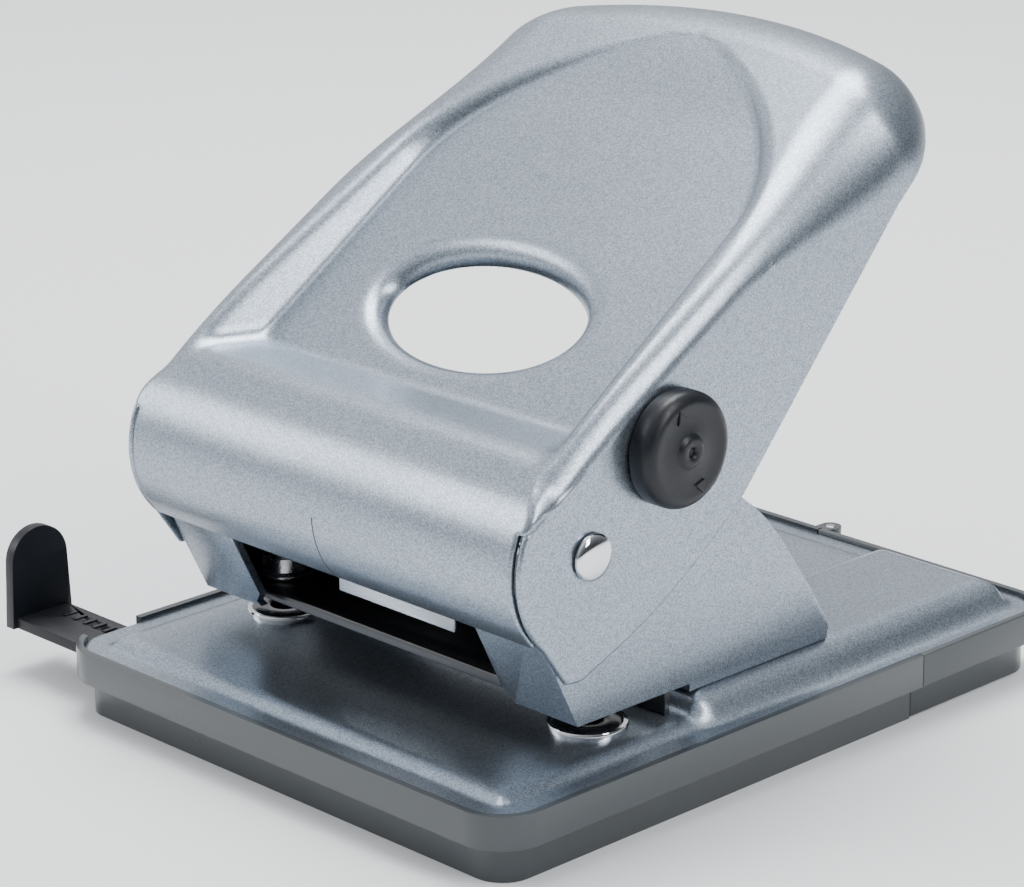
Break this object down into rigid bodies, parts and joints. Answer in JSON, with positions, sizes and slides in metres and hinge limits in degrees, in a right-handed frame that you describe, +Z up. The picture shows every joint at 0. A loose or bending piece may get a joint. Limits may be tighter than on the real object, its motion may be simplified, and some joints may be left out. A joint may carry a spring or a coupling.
{
  "type": "hole punch",
  "caption": "Desk punch for filing holes: pressed-steel lever with a finger hole on a sprung pivot, side knob lock, steel base over a chip tray and a pull-out paper guide.",
  "frame": {"origin": "on the desk under the middle of the chip tray, midway between the two dies", "axes": "+Z up; +X across the punch, from left to right facing its nose; +Y from the nose towards the free end of the lever"},
  "size_m": [0.1413, 0.1503, 0.121],
  "materials": {
    "silver_paint": "satin metallic paint with a fine sparkle",
    "smoke_plastic": "satin moulded smoke grey",
    "black_plastic": "satin moulded black",
    "black_steel": "black enamelled steel",
    "bright_steel": "ground and zinc-bright steel",
    "chrome": "polished chrome plate",
    "bush_plastic": "moulded acetal"
  },
  "bodies": {
    "base": {"chip_tray": "smoke_plastic", "base_plate": "silver_paint", "die_left": "black_steel", "die_right": "black_steel", "paper_stop": "black_steel", "stop_rivets": "bright_steel", "frame": "silver_paint", "bridge": "black_steel", "centre_lip": "bright_steel", "guide_bush_left": "bright_steel", "guide_bush_right": "bright_steel", "frame_screws": "bright_steel", "frame_nuts": "bright_steel", "pivot_pin": "chrome", "pivot_cap": "chrome", "pivot_bushes": "bush_plastic", "hatch_pin": "bright_steel", "guide_saddles": "black_steel"},
    "lever": {"handle": "silver_paint", "press_bracket": "silver_paint", "press_bar": "bright_steel", "lock_ring": "bright_steel"},
    "lock": {"lock_knob": "black_plastic", "lock_shaft": "bright_steel"},
    "punch_l": {"punch_left": "bright_steel", "seat_left": "black_steel", "spring_left": "bright_steel"},
    "punch_r": {"punch_right": "bright_steel", "seat_right": "black_steel", "spring_right": "bright_steel"},
    "guide": {"paper_guide": "black_plastic"},
    "hatch": {"tray_hatch": "smoke_plastic"}
  },
  "joints": [
    {"name": "lever_hinge", "type": "hinge", "parent": "base", "child": "lever", "pos_m": [0, -0.0438, 0.0504], "axis": [-1, 0, 0], "range_deg": [0, 30], "stiffness_Nm_per_rad": 0.35, "springref_deg": -20.05},
    {"name": "lock_turn", "type": "hinge", "parent": "lever", "child": "lock", "pos_m": [0.05, -0.02524, 0.06539], "axis": [1, 0, 0], "range_deg": [0, 90]},
    {"name": "punch_l_slide", "type": "slide", "parent": "base", "child": "punch_l", "axis": [0, 0, -1], "range_m": [0, 0.00554], "deforming": ["spring_left"]},
    {"name": "punch_r_slide", "type": "slide", "parent": "base", "child": "punch_r", "axis": [0, 0, -1], "range_m": [0, 0.00554], "deforming": ["spring_right"]},
    {"name": "guide_slide", "type": "slide", "parent": "base", "child": "guide", "axis": [-1, 0, 0], "range_m": [-0.018, 0.04]},
    {"name": "hatch_hinge", "type": "hinge", "parent": "base", "child": "hatch", "pos_m": [0, 0.07535, 0.01], "axis": [0, 0, 1], "range_deg": [0, 80]}
  ],
  "couplings": [
    {"joint": "punch_l_slide", "follows": "lever_hinge", "m_per_rad": 0.010542},
    {"joint": "punch_r_slide", "follows": "lever_hinge", "m_per_rad": 0.010542}
  ]
}
